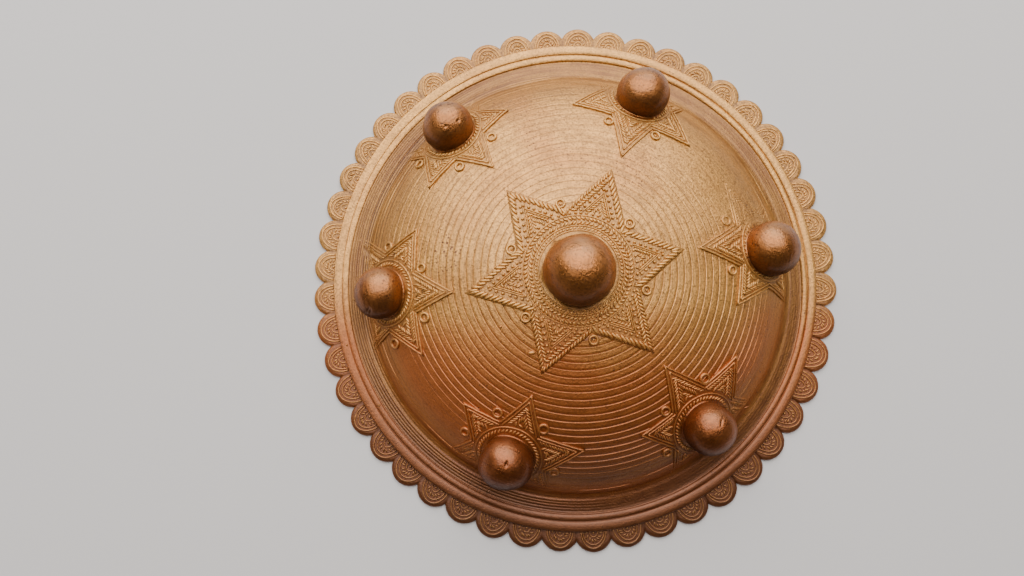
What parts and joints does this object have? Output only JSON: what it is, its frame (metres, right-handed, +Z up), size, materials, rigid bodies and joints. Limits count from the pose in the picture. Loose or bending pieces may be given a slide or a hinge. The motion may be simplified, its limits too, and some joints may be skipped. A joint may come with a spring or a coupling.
{
  "type": "buckler shield",
  "caption": "Round cast bronze buckler with a ribbed dome, raised stars around ball bosses and a scalloped rim, hollow behind.",
  "frame": {"origin": "centre of the rim's underside, on the plane that the shield lies on", "axes": "+Z up along the dome's axis towards the crown boss; -Y is the picture's lower side"},
  "size_m": [0.2797, 0.2797, 0.0666],
  "materials": {
    "cast_bronze": "aged brown patina, rubbed smooth on the bosses"
  },
  "bodies": {
    "root": {"buckler_casting": "cast_bronze"}
  },
  "joints": []
}
